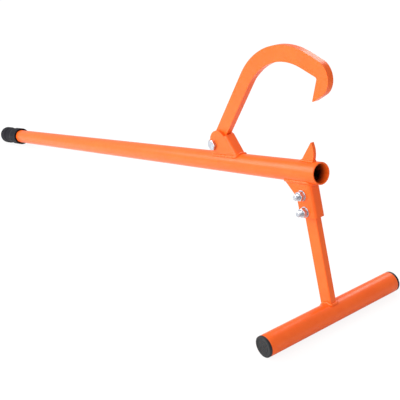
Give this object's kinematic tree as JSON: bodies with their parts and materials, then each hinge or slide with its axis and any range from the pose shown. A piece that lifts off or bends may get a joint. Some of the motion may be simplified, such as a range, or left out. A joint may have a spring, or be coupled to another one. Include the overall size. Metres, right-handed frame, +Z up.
{
  "type": "log lifter",
  "caption": "Long tubular lever with a rubber grip, a swinging hook over a fixed spike, and a leg on a cross bar that lifts and holds a log clear of the ground.",
  "frame": {"origin": "bottom centre of the bounding box, on the ground, with the tool standing on its cross bar and on the end of its grip", "axes": "+X along the ground from the grip towards the hook and the open end of the tube, +Y across the tool along the cross bar, +Z up"},
  "size_m": [1.2504, 0.266, 0.3982],
  "materials": {
    "powder_coat": "satin orange powder coat with fine orange peel",
    "weld_coat": "orange powder coat over rippled weld beads",
    "zinc": "bright zinc plate",
    "grip_rubber": "fine-grained matt black rubber",
    "plug_plastic": "satin dark grey moulded plastic"
  },
  "bodies": {
    "lifter": {"handle_tube": "powder_coat", "handle_grip": "grip_rubber", "hook_bracket": "powder_coat", "hook_bracket_weld": "weld_coat", "pivot_bolt": "zinc", "pivot_nut": "zinc", "pivot_washer": "zinc", "spike": "powder_coat", "spike_weld": "weld_coat", "leg_bracket": "powder_coat", "leg_bracket_weld": "weld_coat", "leg_bolts": "zinc", "leg_nuts": "zinc", "leg_washers": "zinc", "leg": "powder_coat", "leg_weld": "weld_coat", "cross_bar": "powder_coat", "bar_plug_left": "plug_plastic", "bar_plug_right": "plug_plastic"},
    "hook": {"hook": "powder_coat"}
  },
  "joints": [
    {"name": "hook_swing", "type": "hinge", "parent": "lifter", "child": "hook", "pos_m": [0.35545, 0, 0.21879], "axis": [0, -1, 0], "range_deg": [-1.5, 134.5]}
  ]
}
